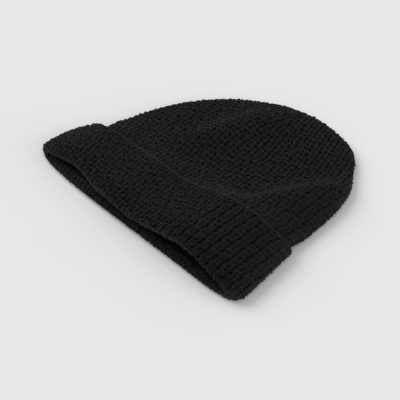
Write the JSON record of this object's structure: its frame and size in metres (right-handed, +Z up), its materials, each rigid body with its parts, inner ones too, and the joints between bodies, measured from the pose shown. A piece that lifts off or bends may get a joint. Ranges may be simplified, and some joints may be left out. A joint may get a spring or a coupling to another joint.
{
  "type": "knit beanie",
  "caption": "Waffle-knit cuffed beanie lying flat; the cuff turns down, the crown folds over and the inside label lifts.",
  "frame": {"origin": "under the middle of the hat, on the surface that it lies on", "axes": "+X across the hat along the folded mouth, +Y from the mouth to the crown tip, +Z up through both layers"},
  "size_m": [0.2419, 0.2028, 0.0327],
  "materials": {
    "waffle_knit": "soft matte brushed acrylic yarn, waffle knit",
    "seam_yarn": "matte twisted yarn",
    "label_tape": "smooth woven satin tape, blank"
  },
  "bodies": {
    "body": {"body_tube": "waffle_knit", "back_seam": "seam_yarn", "label_stitches": "seam_yarn"},
    "cuff": {"cuff_band": "waffle_knit", "cuff_edge_chain": "seam_yarn", "cuff_back_seam": "seam_yarn"},
    "crown": {"back_left_gore": "waffle_knit", "front_left_gore": "waffle_knit", "front_right_gore": "waffle_knit", "back_right_gore": "waffle_knit", "crown_back_seam": "seam_yarn", "crown_left_seam": "seam_yarn", "crown_front_seam": "seam_yarn", "crown_right_seam": "seam_yarn", "crown_gather_knot": "seam_yarn"},
    "label": {"care_label": "label_tape"}
  },
  "joints": [
    {"name": "cuff_turn_down", "type": "slide", "parent": "body", "child": "cuff", "axis": [0, -1, 0], "range_m": [0, 0.055]},
    {"name": "crown_fold", "type": "hinge", "parent": "body", "child": "crown", "pos_m": [0.0075, 0.0318, 0.0248], "axis": [1, 0, 0], "range_deg": [0, 90]},
    {"name": "label_flap", "type": "hinge", "parent": "body", "child": "label", "pos_m": [0.0087, 0.005, 0.0042], "axis": [0, -1, 0], "range_deg": [0, 15]}
  ]
}
